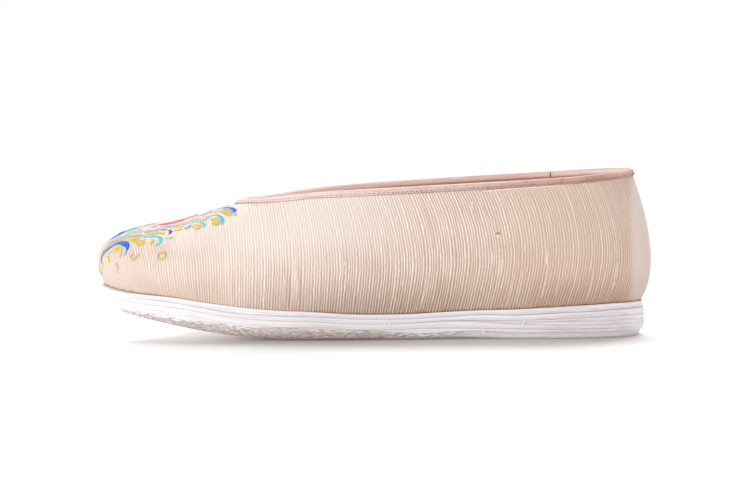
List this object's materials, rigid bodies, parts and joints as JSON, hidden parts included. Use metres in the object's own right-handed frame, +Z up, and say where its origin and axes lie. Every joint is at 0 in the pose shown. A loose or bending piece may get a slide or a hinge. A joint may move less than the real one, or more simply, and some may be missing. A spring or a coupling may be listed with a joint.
{
  "type": "cloth shoe",
  "caption": "Low slip-on cloth shoe with a hollow ribbed upper, a bound collar, wave embroidery on the toe and a stitched sole of bound cloth layers with a wedge of lifts at the heel.",
  "frame": {"origin": "on the floor under the middle of the shoe's bounding box", "axes": "+X from the heel to the toe, +Y to the wearer's left, which is the outer side of this left shoe, +Z up"},
  "size_m": [0.2504, 0.084, 0.075],
  "materials": {
    "upper_cloth": "pale peach slub cloth with upright ribs, matt",
    "binding_cloth": "dusty pink plain-weave bias tape, matt",
    "sole_cloth": "white bound cotton edges, matt",
    "outsole_cloth": "grey-white stitched cloth, rough and matt",
    "insole_cloth": "cream cotton, matt"
  },
  "bodies": {
    "root": {"upper": "upper_cloth", "collar_binding": "binding_cloth", "insole": "insole_cloth", "sole_layer_4": "sole_cloth", "sole_layer_3": "sole_cloth", "heel_lift_2": "sole_cloth", "heel_lift_1": "sole_cloth", "sole_layer_2": "sole_cloth", "sole_layer_1": "sole_cloth", "outsole": "outsole_cloth"}
  },
  "joints": []
}
